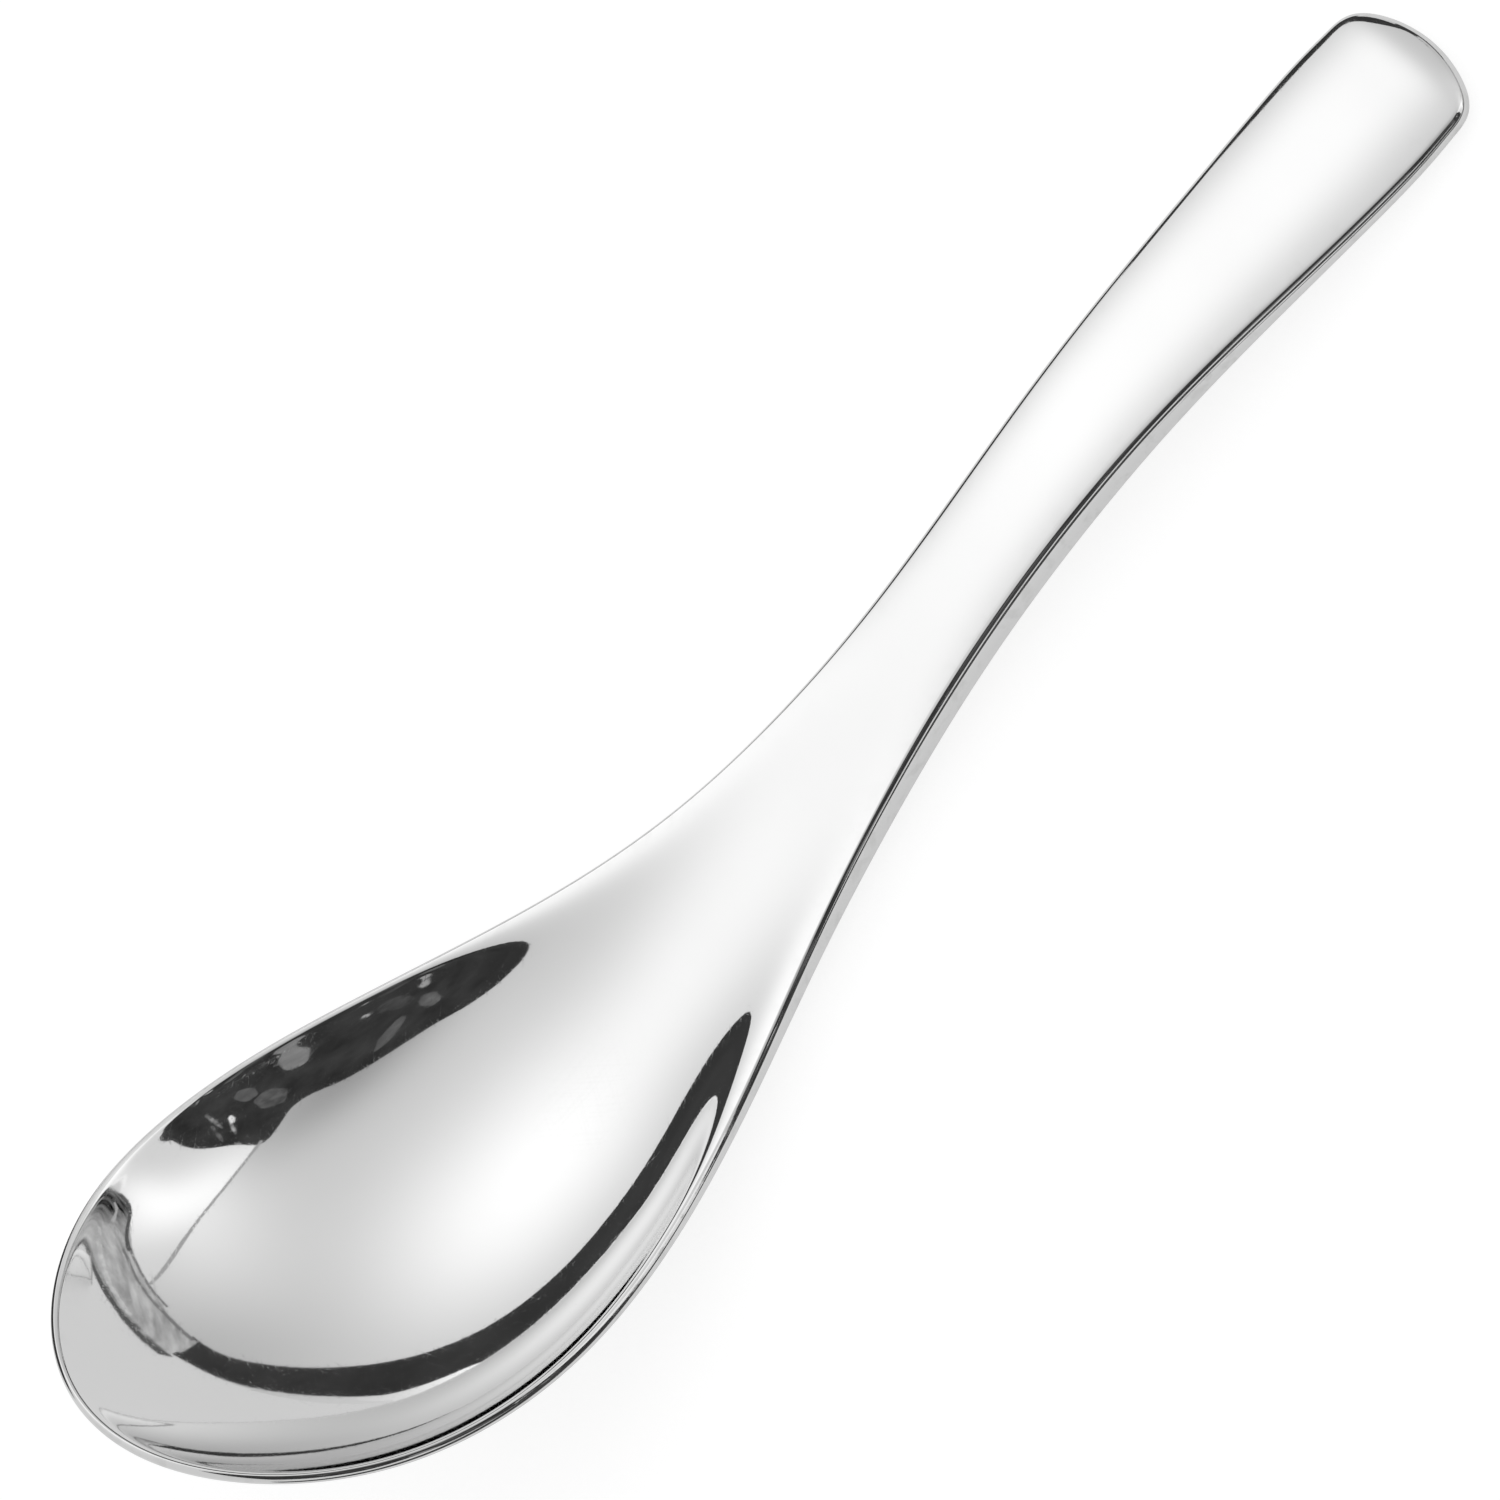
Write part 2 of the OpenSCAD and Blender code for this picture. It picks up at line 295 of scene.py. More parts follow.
def profiles(t):
    """Points of the whole profile at each t, with their distance inside the outline as a fourth
    number: an array (stations, points, 4)."""
    p, d = curve(outline_net, t), heading(outline_net, t)
    n = np.stack([-d[:, 1], d[:, 0]], 1) / np.linalg.norm(d, axis=1, keepdims=True)
    r, low_r, k = (f(p[:, 0])[:, None] for f in (rounding, lower_rounding, edge_power))
    px, py, nx, ny = (a[:, None] for a in (p[:, 0], p[:, 1], n[:, 0], n[:, 1]))

    def inset(distance):
        return px - nx * distance, py - ny * distance

    def row(x, y, z, distance):
        return np.stack([x, y, z, distance + 0 * x], 2)

    # From the centre line out to the lip
    v = np.sin(QUARTER * np.arange(ACROSS + 1) / ACROSS)[None]
    per_mm = 2 * np.maximum(py, TINY) / np.maximum(ny, LEAST_ACROSS) / HALF**2
    per_mm[0], per_mm[-1] = per_mm[1], per_mm[-2]
    tilt = np.arctan(CROWN_POWER * FULL_CROWN * crown(px) * per_mm)
    land_in = land_width(px)
    start = r * (1 - np.sin(tilt) ** k)
    lip_x, lip_y = inset(start + land_in)
    x, y = lip_x + 0 * v, lip_y * v
    centre = (lip_y**2 + TINY) / HALF**2
    height = top_height(x, (lip_y**2 - y**2) / HALF**2, centre, per_mm)
    top = row(x, y, height, start + land_in + lip_y * (1 - v))

    # Across the land
    s = land_in * np.arange(1, LAND_STEPS + 1)[None] / LAND_STEPS
    x, y = inset(start + land_in - s)
    land = row(x, y, top_height(x, -per_mm * s, centre, per_mm), start + land_in - s)

    # Round the upper edge
    turn = np.arange(1, ROUND + 1)[None] / ROUND
    a = tilt + (QUARTER - tilt) * turn
    x, y = inset(r * (1 - np.sin(a) ** k))
    z = land[:, -1:, 2] - r * (np.cos(tilt) ** k - np.abs(np.cos(a)) ** k)
    over = row(x, y, z, r * (1 - np.sin(a) ** k))

    # Round the lower edge, and the flank between the two
    b = QUARTER * turn[:, ::-1]
    under_x, under_y = inset(low_r)
    low = under_height(under_x, 0 * under_x)
    x, y = inset(low_r * (1 - np.sin(b)))
    below = row(x, y, low + low_r * (1 - np.cos(b)), low_r * (1 - np.sin(b)))

    share = np.arange(1, FLANK)[None, :, None] / FLANK
    flank = over[:, -1:] * (1 - share) + below[:, :1] * share

    # Back along the underside
    w = v[:, ::-1]
    x, y = under_x + 0 * w, under_y * w
    height = under_height(x, (under_y**2 - y**2) / HALF**2)
    under = row(x, y, height, low_r + under_y * (1 - w))
    return np.concatenate([top, land, over, flank, below, under], 1)


one_side = profiles(np.arange(SIDE + 1) * STRETCHES / SIDE)
print("profiles:", one_side.shape[0], "a side, with", one_side.shape[1], "points each")

# %% [markdown]
# ## From profiles to one closed skin
#
# The other side is the mirror image. Both sides share their points on the centre line, and at the
# tip and at the handle's end the straight rows shrink to one point, so the skin has no open seam
# and no doubled points there.
#
# The drawn side view is then turned until the bowl's underside and the handle's end touch the
# table together, as the solid is.

# %% Numbers and faces of the skin
def skin(side):
    """Points, their distances inside the outline, and faces of the closed skin."""
    rows, count = 2 * SIDE, side.shape[1]
    other = side[SIDE - 1:0:-1] * [1, -1, 1, 1]
    grid = np.concatenate([side, other]).reshape(-1, 4)
    number = np.arange(rows * count).reshape(rows, count)
    for k in (0, count - 1):
        number[SIDE + 1:, k] = number[SIDE - 1:0:-1, k]
    for i in (0, SIDE):
        number[i, :ACROSS] = number[i, ACROSS]
        number[i, count - ACROSS:] = number[i, count - 1 - ACROSS]
    nxt = np.roll(number, -1, 0)
    quads = np.stack([number[:, :-1], nxt[:, :-1], nxt[:, 1:], number[:, 1:]], 2).reshape(-1, 4)
    used, compact = np.unique(quads, return_inverse=True)
    faces = []
    for quad in compact.reshape(-1, 4).tolist():
        face = list(dict.fromkeys(quad))
        if len(face) > 2:
            faces.append(face)
    return grid[used, :3], grid[used, 3], faces


# %% Lying on the table
STEEPEST, HALVINGS = 30, 40


def lie_down(points, belly, heel):
    """Turns the drawing about Y until belly and heel reach the same lowest height. The angle is
    found by halving the range that holds it, again and again."""
    def lowest(group, angle):
        return (group[:, 2] * math.cos(angle) - group[:, 0] * math.sin(angle)).min()

    low, high = 0.0, math.radians(STEEPEST)
    for _ in range(HALVINGS):
        middle = (low + high) / 2
        if lowest(belly, middle) < lowest(heel, middle):
            low = middle
        else:
            high = middle
    c, s = math.cos(middle), math.sin(middle)
    x, y, z = points.T
    turned = np.stack([x * c + z * s, y, z * c - x * s], 1)
    shift = np.array([(turned[:, 0].max() + turned[:, 0].min()) / 2, 0, turned[:, 2].min()])
    return turned - shift, middle, shift


# %% Lay the skin in the solid's box
SNUG = 0.99999
drawn, inside_by, faces = skin(one_side)
belly = one_side[one_side[:, 0, 0] < BOWL_LENGTH, -1]
heel = one_side[one_side[:, 0, 0] > CROWN_END, -1]
points, lie, lie_shift = lie_down(drawn, belly, heel)
points = points * MM
low, high = np.array(cad_box)
middle = (low + high) / 2
fit = np.minimum(1, (high - low) / (points.max(0) - points.min(0))) * SNUG
points = middle + (points - (points.max(0) + points.min(0)) / 2) * fit
print("lying angle", round(math.degrees(lie), 3), "degrees; shift", lie_shift.round(4).tolist())
print("skin:", len(points), "points,", len(faces), "faces; fitted to the box by", fit.round(5))

# %% [markdown]
# ## The piece
#
# The skin becomes one mesh, smooth all over, that stands for the solid `spoon` and rides on the
# only body there is. One value goes along with each point: how near it is to the edge. Handling
# wears edges first, so the finish reads it.

# %% Make the spoon
mesh = bpy.data.meshes.new("spoon_skin")
mesh.from_pydata(points.tolist(), [], faces)
mesh.polygons.foreach_set("use_smooth", np.ones(len(mesh.polygons), bool))
WEAR_REACH = 0.9
nearness = mesh.attributes.new("edge_nearness", "FLOAT", "POINT")
nearness.data.foreach_set("value", np.exp(-inside_by / WEAR_REACH).astype(np.float32))
mesh.update()
spoon = bpy.data.objects.new("polished_spoon", mesh)
bpy.context.scene.collection.objects.link(spoon)
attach(spoon, "root")
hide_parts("spoon")
triangles = sum(len(p.vertices) - 2 for p in mesh.polygons)
print("spoon:", triangles, "triangles")

# %% [markdown]
# ## Writing finishes as formulas
#
# A finish is arithmetic on patterns. The class lets a material's nodes be written as ordinary
# sums and products.

# %% Shader arithmetic
class Value:
    """One number flowing through a material's nodes."""

    def __init__(self, finish, socket):
        self.finish, self.socket = finish, socket

    def math(self, operation, *others, **settings):
        node = self.finish.node("ShaderNodeMath", {"operation": operation, **settings},
                                dict(enumerate([self, *others])))
        return Value(self.finish, node.outputs[0])

    def __add__(self, other):
        return self.math("ADD", other)

    def __sub__(self, other):
        return self.math("SUBTRACT", other)

    def __rsub__(self, other):
        return self.math("MULTIPLY_ADD", -1.0, other)

    def __mul__(self, other):
        return self.math("MULTIPLY", other)

    def __truediv__(self, other):
        return self.math("DIVIDE", other)

    def __pow__(self, other):
        return self.math("POWER", other)

    __radd__, __rmul__ = __add__, __mul__

    def above(self, start, end):
        """0 below start, 1 above end, and a straight ramp between."""
        return ((self - start) / (end - start)).math("ADD", 0.0, use_clamp=True)


class Finish:
    """A new node material, with one method that adds any node."""

    def __init__(self, name):
        self.material = bpy.data.materials.new(name)
        self.material.use_nodes = True
        self.tree = self.material.node_tree
        self.tree.nodes.clear()

    def node(self, kind, settings=None, inputs=None):
        made = self.tree.nodes.new(kind)
        for key, value in (settings or {}).items():
            setattr(made, key, value)
        for key, value in (inputs or {}).items():
            if isinstance(value, Value):
                value = value.socket
            if isinstance(value, bpy.types.NodeSocket):
                self.tree.links.new(value, made.inputs[key])
            else:
                made.inputs[key].default_value = value
        return made

    def value(self, kind, settings=None, inputs=None, output=0):
        return Value(self, self.node(kind, settings, inputs).outputs[output])


# %% [markdown]
# ## Polished steel
#
# Mirror-polished stainless steel is close to a plain grey mirror, and it is the small departures
# from one that the eye reads as metal:
#
# - the surface is never quite even: pressing and buffing leave soft waves, one to ten millimetres
#   long and a few thousandths of a millimetre high, which make the borders of reflections tremble;
# - buffing leaves fine lines along the spoon, about a tenth of a millimetre apart;
# - use leaves stray hairline scratches in every direction, more of them on the belly and heel,
#   which rub on the table, and along the edges, which knock against other cutlery;
# - handling leaves a faint uneven film, so the gloss wanders a little.
#
# All of it could be painted, but patterns worked out from the place on the spoon keep their scale
# at any distance.

# %% Patterns of wear
STEEL_GRAIN = 0.55
CLOUDS, DULL_CLOUDS = (0.3, 0.7), (0.35, 0.75)
HAIRLINES, HAIRLINE_SQUEEZE, HAIRLINE_EDGE = 70.0, 60, 0.05


def noise(f, place, scale, detail=2.0, stretch=(1, 1, 1), turned=0.0):
    """Cloudy pattern, 0 to 1, with about `scale` patches a metre, squeezed by `stretch` on axes
    turned about the upright by some degrees."""
    mapped = f.node("ShaderNodeMapping", {"vector_type": "POINT"}, {
        "Vector": place, "Rotation": (0, 0, math.radians(turned))})
    squeezed = f.node("ShaderNodeVectorMath", {"operation": "MULTIPLY"}, {
        0: mapped.outputs[0], 1: stretch})
    return f.value("ShaderNodeTexNoise", None, {
        "Vector": squeezed.outputs[0], "Scale": scale, "Detail": detail,
        "Roughness": STEEL_GRAIN})


def hairlines(f, place, turned, rarity):
    """Thin straight scratches one way: noise squeezed across them, kept where it peaks."""
    squeeze = (1, HAIRLINE_SQUEEZE, HAIRLINE_SQUEEZE)
    peaks = noise(f, place, HAIRLINES, 1.0, squeeze, turned)
    return peaks.above(rarity, rarity + HAIRLINE_EDGE)


# %% Where the steel is worn
SCRATCHES = ((12, 0.66), (-34, 0.67), (71, 0.68), (118, 0.67))
RUBS, RUB_RARITY = (5, 52, -63), 0.55
RUB_LOW, RUB_HIGH = 0.2 * MM, 2.2 * MM
BUFFED_LINES, BUFFED_SQUEEZE = 90.0, 90
FILM_PATCHES, KNOCK_MARKS = 38.0, 620.0
KNOCK_START, KNOCK_END = 0.52, 0.66


def wear_patterns(f):
    """Place on the spoon, and there the strengths of film, buffing, scratches, rubbing on the
    table, nearness to the edge, and knocks."""
    place = f.node("ShaderNodeTexCoord").outputs["Object"]
    near = f.value("ShaderNodeAttribute", {"attribute_name": "edge_nearness"}, output="Fac")
    height_above = Value(f, f.node("ShaderNodeSeparateXYZ", None, {0: place}).outputs[2])
    rubbed = 1 - height_above.above(RUB_LOW, RUB_HIGH)
    scratches = sum(hairlines(f, place, turned, rarity) for turned, rarity in SCRATCHES)
    rubs = sum(hairlines(f, place, turned, RUB_RARITY) for turned in RUBS) * rubbed
    buffed = noise(f, place, BUFFED_LINES, 2.0, (1, BUFFED_SQUEEZE, BUFFED_SQUEEZE))
    film = noise(f, place, FILM_PATCHES, 4.0)
    knocks = noise(f, place, KNOCK_MARKS, 2.0).above(KNOCK_START, KNOCK_END) * near
    return place, film, buffed, scratches, rubs, near, knocks


# %% [markdown]
# ### The steel itself
#
# Wear changes three things: it darkens the mirror a little, dulls it, and leaves relief. Heights
# are in microns, thousandths of a millimetre, and feed one Bump node. That only tilts the mirror,
# so the outline stays clean.

# %% What the wear does
MICRON = 1e-6
FRESH_STEEL, WORN_STEEL = (0.81, 0.81, 0.81, 1), (0.7, 0.7, 0.695, 1)
COLOUR_A, COLOUR_B, COLOUR_MIXED = 6, 7, 2
FILM_DARK, KNOCK_DARK, RUB_DARK = 0.25, 0.5, 0.3
POLISH, FILM_DULL, BUFFED_DULL, SCRATCH_DULL = 0.022, 0.02, 0.012, 0.05
RUB_DULL, EDGE_DULL, KNOCK_DULL = 0.13, 0.015, 0.09
WAVES, WAVE_HEIGHT, RIPPLES, RIPPLE_HEIGHT = 85.0, 3.0, 620.0, 1.7
BUFFED_HEIGHT, SCRATCH_DEPTH, RUB_DEPTH, KNOCK_DEPTH = 0.02, 0.06, 0.12, 1.2
print("heights in microns: waves", WAVE_HEIGHT, "ripples", RIPPLE_HEIGHT, "knocks", KNOCK_DEPTH)

# %% Steel
def polished_steel():
    """A grey mirror, made duller, darker and less even by the patterns of wear."""
    f = Finish("mirror_polished_steel")
    place, film, buffed, scratches, rubs, near, knocks = wear_patterns(f)
    wear = film.above(*CLOUDS) * FILM_DARK + knocks * KNOCK_DARK + rubs * RUB_DARK
    roughness = (POLISH + film.above(*DULL_CLOUDS) * FILM_DULL + buffed * BUFFED_DULL
                 + scratches * SCRATCH_DULL + rubs * RUB_DULL + near * EDGE_DULL
                 + knocks * KNOCK_DULL)
    waves = (noise(f, place, WAVES, 1.0) * WAVE_HEIGHT
             + noise(f, place, RIPPLES, 2.0) * RIPPLE_HEIGHT)
    height = (waves + buffed * BUFFED_HEIGHT - scratches * SCRATCH_DEPTH - rubs * RUB_DEPTH
              - knocks * KNOCK_DEPTH)
    bump = f.node("ShaderNodeBump", None, {"Strength": 1.0, "Distance": MICRON, "Height": height})
    grey = f.node("ShaderNodeMix", {"data_type": "RGBA"}, {
        0: wear, COLOUR_A: FRESH_STEEL, COLOUR_B: WORN_STEEL})
    shader = f.node("ShaderNodeBsdfPrincipled", None, {
        "Base Color": grey.outputs[COLOUR_MIXED], "Metallic": 1.0, "Roughness": roughness,
        "Normal": bump.outputs[0]})
    f.node("ShaderNodeOutputMaterial", None, {"Surface": shader.outputs[0]})
    return f.material


spoon.data.materials.append(polished_steel())
print("steel:", len(spoon.active_material.node_tree.nodes), "nodes")

# %% [markdown]
# ## The studio
#
# A mirror has hardly any colour of its own: the picture of polished steel is a picture of the
# room. So the studio is built piece by piece: pale paper below, a tent of white cloth round it,
# and the gaps that the tent leaves.
#
# The pieces are placed by direction, as on a map of the sky seen from the spoon: degrees east,
# towards the handle's end, and degrees north, away from the camera, from the point straight
# overhead. So 90 degrees in any direction is the horizon.

# %% Directions and pieces of the studio
LOOK_FROM = np.array([-0.045, -0.005, 0.012])
ABOVE_TABLE = 0.0004
LEAST_SQUARE = 1e-8


def direction(east, north):
    """Unit directions: the angle from overhead is the distance on the map."""
    angle = np.hypot(east, north)
    z = np.radians(angle)
    scale = np.sin(z) / np.maximum(angle, TINY)
    return np.stack([scale * east, scale * north, np.cos(z)], -1)


def staged(name, vertices, faces, material, seen=True):
    """A piece of the studio. One that isn't seen shows only in what the steel mirrors."""
    m = bpy.data.meshes.new(name)
    m.from_pydata(np.asarray(vertices).tolist(), [], [list(map(int, face)) for face in faces])
    m.materials.append(material)
    o = bpy.data.objects.new(name, m)
    bpy.context.scene.collection.objects.link(o)
    if not seen:
        for ray in ("camera", "diffuse", "transmission", "volume_scatter", "shadow"):
            setattr(o, "visible_" + ray, False)
    return o


def lit(name, formula):
    """Cloth or card whose brightness is a formula of the map's east and north."""
    f = Finish(name)
    place = f.node("ShaderNodeTexCoord").outputs["Object"]
    seen_from = f.node("ShaderNodeVectorMath", {"operation": "SUBTRACT"}, {0: place, 1: LOOK_FROM})
    unit = f.node("ShaderNodeVectorMath", {"operation": "NORMALIZE"}, {0: seen_from.outputs[0]})
    xyz = f.node("ShaderNodeSeparateXYZ", None, {0: unit.outputs[0]}).outputs
    x, y, z = (Value(f, xyz[k]) for k in range(3))
    angle = z.math("ARCCOSINE") * math.degrees(1)
    flat = (x * x + y * y + LEAST_SQUARE) ** 0.5
    strength = formula(f, angle * x / flat, angle * y / flat)
    if not isinstance(strength, Value):
        strength = (strength, strength, strength, 1)
    node = f.node("ShaderNodeEmission", None, {"Color": strength, "Strength": 1.0})
    f.node("ShaderNodeOutputMaterial", None, {"Surface": node.outputs[0]})
    return f.material


# %% [markdown]
# ### Brightness and cards
#
# The brightness of each piece is a formula of its place on the map, so no picture is needed. A
# card is cut between two lines on the map and hangs on a sphere round the bowl. Where a line runs
# below the horizon, the card reaches down to the table.

# %% Patterns of brightness
CLOTH_GRAIN, CLOTH_DETAIL = 0.6, 3.0


def plain(strength):
    """The same brightness everywhere."""
    return lambda f, east, north: strength


def spot(east, north, at_east, at_north, wide, high):
    """A soft round brightening: e^-(d^2), with d the distance over the spot's half widths."""
    d = ((east - at_east) / wide) ** 2.0 + ((north - at_north) / high) ** 2.0
    return (d * -1.0).math("EXPONENT")


def spotted(level, spots):
    """A level with soft spots on it, each with its place, its half widths and its strength."""
    def formula(f, east, north):
        return level + sum(spot(east, north, *where) * strength for *where, strength in spots)
    return formula


def mottled(low, high, scale, stretch=(1, 1)):
    """Brightness that wanders between low and high over patches of the map."""
    def formula(f, east, north):
        place = f.node("ShaderNodeCombineXYZ", None, {0: east * stretch[0], 1: north * stretch[1]})
        noise = f.value("ShaderNodeTexNoise", None, {
            "Vector": place.outputs[0], "Scale": scale, "Detail": CLOTH_DETAIL,
            "Roughness": CLOTH_GRAIN})
        return low + noise.above(*CLOUDS) * (high - low)
    return formula


# %% Cards and patches
LINE_POINTS, PATCH_POINTS = 90, 48


def place_by(lines, radius):
    """Points seen from the bowl in the map's directions, at the radius or, below the horizon,
    where the view meets the table."""
    d = direction(*np.asarray(lines, float).T)
    to_table = (LOOK_FROM[2] - ABOVE_TABLE) / np.maximum(-d[:, 2], TINY)
    reach = np.where(d[:, 2] < 0, to_table, radius)
    return LOOK_FROM + d * np.minimum(reach, radius)[:, None]


def smooth_line(points):
    """Smooth line from the first to the last of the map points."""
    net = np.array([points[0]] * 2 + list(points) + [points[-1]] * 2, float)
    return curve(net, np.linspace(0, len(net) - 3, LINE_POINTS))


def card(name, first, second, radius, formula, steps=6):
    """A card cut between two lines on the map, as bands of quads on a sphere round the bowl."""
    share = np.linspace(0, 1, steps + 1)[:, None, None]
    lines = smooth_line(first) * (1 - share) + smooth_line(second) * share
    count = lines.shape[1]
    k = np.arange(steps * count).reshape(steps, count)
    faces = np.stack([k[:, :-1], k[:, 1:], k[:, 1:] + count, k[:, :-1] + count], 2).reshape(-1, 4)
    points = place_by(lines.reshape(-1, 2), radius)
    return staged(name, points, faces, lit(name, formula), seen=False)


def patch(name, place, size, turned, radius, formula):
    """A small card with an uneven outline, turned on the map by some degrees. The outline's
    radius is 1 + 0.08 sin(2 a + east) + 0.05 sin(5 a + north), so no two are alike."""
    (east, north), (wide, high) = place, size
    a = np.linspace(0, 2 * np.pi, PATCH_POINTS, endpoint=False)
    r = 1 + 0.08 * np.sin(2 * a + east) + 0.05 * np.sin(5 * a + north)
    u, v = wide * r * np.cos(a), high * r * np.sin(a)
    c, s = np.cos(np.radians(turned)), np.sin(np.radians(turned))
    points = place_by(np.stack([east + u * c - v * s, north + u * s + v * c], 1), radius)
    return staged(name, points, [range(PATCH_POINTS)], lit(name, formula), seen=False)


# %% [markdown]
# ### Paper
#
# The spoon lies on pale paper. The camera sees the paper a little lighter than the steel does, as
# in a catalogue picture whose ground was cleaned to white. Only part of the paper's lightness
# answers to light, so the spoon's own soft shadow stays, faint.

# %% Paper
PAPER_GREY = (0.38, 0.38, 0.38, 1)
GLOW_TO_CAMERA, GLOW_TO_STEEL = 0.74, 0.46
HALF_FLOOR, FLOOR_HEIGHT = 1.6, -0.0001


def paper():
    """Paper that glows by itself for the camera and the steel, and takes a faint shadow."""
    f = Finish("pale_paper")
    path = f.node("ShaderNodeLightPath").outputs
    seen = (Value(f, path["Is Camera Ray"]) * GLOW_TO_CAMERA
            + Value(f, path["Is Glossy Ray"]) * GLOW_TO_STEEL)
    lit_paper = f.node("ShaderNodeBsdfDiffuse", None, {"Color": PAPER_GREY})
    added = f.node("ShaderNodeEmission", None, {"Color": seen, "Strength": 1.0})
    both = f.node("ShaderNodeAddShader", None, {0: lit_paper.outputs[0], 1: added.outputs[0]})
    f.node("ShaderNodeOutputMaterial", None, {"Surface": both.outputs[0]})
    return f.material


square = [(-1, -1), (1, -1), (1, 1), (-1, 1)]
staged("floor", [(x * HALF_FLOOR, y * HALF_FLOOR, FLOOR_HEIGHT) for x, y in square],
       [(0, 1, 2, 3)], paper())
print("paper:", 2 * HALF_FLOOR, "m across")

# %% [markdown]
# ### The tent
#
# White cloth hangs over the table. A large soft area high behind the spoon is brighter, as where a
# lamp shines through cloth, and the cloth grows greyer towards the camera. These soft steps of
# white are what makes a polished surface read as round. Each is a spot on the map: its place, its
# half widths, and how much it adds or takes away.

# %% White cloth
TENT, TENT_DOWN = 2.0, 120
CLOTH = 0.725
CLOTH_SPOTS = [
    (7.7, 36, 40.7, 28.5, 0.67),
    (65, -77, 18.5, 80, 0.5),
    (6.7, -34.5, 34.3, 14, -0.34),
    (62, 37, 65.5, 30, -0.24),
]
rings, spokes = 48, 96
print("spots on the cloth:", len(CLOTH_SPOTS))

# %% Tent
down, round_ = np.meshgrid(np.arange(1, rings) * TENT_DOWN / rings,
                           np.arange(spokes) * 2 * np.pi / spokes, indexing="ij")
ball = direction(down * np.cos(round_), down * np.sin(round_)).reshape(-1, 3)
ball = np.concatenate([ball, [[0, 0, 1]]]) * TENT
k = np.arange((rings - 2) * spokes).reshape(rings - 2, spokes)
quads = np.stack([k, np.roll(k, -1, 1), np.roll(k, -1, 1) + spokes, k + spokes], 2).reshape(-1, 4)
cap = [(len(ball) - 1, (j + 1) % spokes, j) for j in range(spokes)]
tent_cloth = lit("tent_cloth", spotted(CLOTH, CLOTH_SPOTS))
staged("tent", ball, [*quads.tolist(), *cap], tent_cloth, seen=False)
print("tent:", rings, "rings, down to", TENT_DOWN, "degrees")

# %% [markdown]
# ### Gaps
#
# Behind the spoon the cloth ends above the table, and the dark room shows as a long band. In front
# is a wide opening, with a few dim shapes in it. Each is a card cut between two lines on the map.
# The steel shows these borders as long curves, and where a curve bends tells how the metal bends
# there. Cards that overlap hang at slightly different distances, the nearer one in front.

# %% Gap behind
FAR_GAP, SECOND, FOLDS, NEAR_GAP, SEAM, LINE, GLINT = 1.9, 1.88, 1.87, 1.86, 1.85, 1.84, 1.82
card("back_gap",
     [(-60, 64), (-40, 66), (-14, 68), (-5, 68.5), (5, 70), (15, 69), (25, 67.5), (35, 64),
      (45, 59.5), (55, 54), (65, 48), (72, 42), (76, 37), (78.5, 31), (79.5, 28)],
     [(-60, 92), (-40, 92), (-14, 92), (10, 88), (22, 86), (26, 81.5), (30, 79.3),
      (42, 76.3), (48, 73.3), (55, 68), (62, 63), (70, 56), (76, 49), (80, 42), (83.5, 35)],
     FAR_GAP, mottled(0.035, 0.055, 0.05))
card("table_edge",
     [(24, 83), (27, 81), (30, 79.2), (42, 76.2), (48, 73.2), (52, 70.2)],
     [(24, 90), (30, 89), (38, 84), (44, 79.5), (49, 75), (53, 71)],
     NEAR_GAP, spotted(0.74, [(24, 80, 17, 60, 0.5)]), 2)
print("gap behind, and the table's far edge below it")

# %% Gaps in front
card("front_gap",
     [(-40, -14), (-25, -15.5), (-16, -16), (-10.5, -19.2), (-4.5, -23.4), (0.3, -27),
      (5.5, -29.7), (11.3, -32.6), (15.1, -35.4), (19.2, -38.6), (23.3, -39), (26, -38.3),
      (30, -35.5), (36, -32.5), (38.5, -34), (41, -40), (45, -43.5), (49, -48), (51, -54),
      (51.2, -58)],
     [(-40, -40), (-30, -50), (-20, -58), (-12, -62), (-7, -62), (-2, -62), (4, -63),
      (9, -64.5), (15, -66.5), (21, -67.8), (27, -68.3), (32, -68.3), (38, -68), (43, -67.2),
      (47, -66), (50, -63), (51.2, -60)],
     NEAR_GAP, mottled(0.025, 0.06, 0.1))
card("front_gap_low",
     [(-60, -45), (-40, -62), (-20, -71), (0, -74.5), (20, -73), (38, -66), (50, -59)],
     [(-75, -50), (-58, -76), (-30, -95), (0, -101), (30, -96), (52, -84), (68, -70)],
     FAR_GAP, mottled(0.04, 0.08, 0.1))
print("gaps in front, the lower one down to the table")

# %% Dim shapes and glints in front
DIM_SHAPES = {
    "a": ((10.5, -59), (4.2, 5.8), -25, (0.2, 0.3, 0.2)),
    "b": ((24.5, -49), (4.2, 5.0), 20, (0.06, 0.16, 0.3)),
    "c": ((26.5, -59), (2.6, 4.6), 0, (0.09, 0.16, 0.2)),
    "d": ((-9, -35), (2.2, 4), -10, (0.08, 0.2, 0.3)),
    "e": ((0, -35.8), (4.5, 1.8), 25, (0.08, 0.16, 0.3)),
    "f": ((-7, -46), (2.2, 5), 10, (0.04, 0.1, 0.3)),
}
GLINTS = {
    "a": ((35.5, -52), (0.9, 2.2), -20, plain(0.95)),
    "b": ((37.6, -47.5), (0.5, 3.6), -16, mottled(0.1, 0.7, 0.5)),
    "c": ((38.6, -57), (0.6, 6.5), -6, mottled(0.05, 0.4, 0.4)),
    "d": ((41.5, -50), (0.5, 5.5), -12, mottled(0.05, 0.25, 0.4)),
    "e": ((-12.9, -43), (1.1, 1.6), 20, plain(0.4)),
    "f": ((-3.9, -51.8), (0.5, 1.2), 0, plain(0.5)),
}
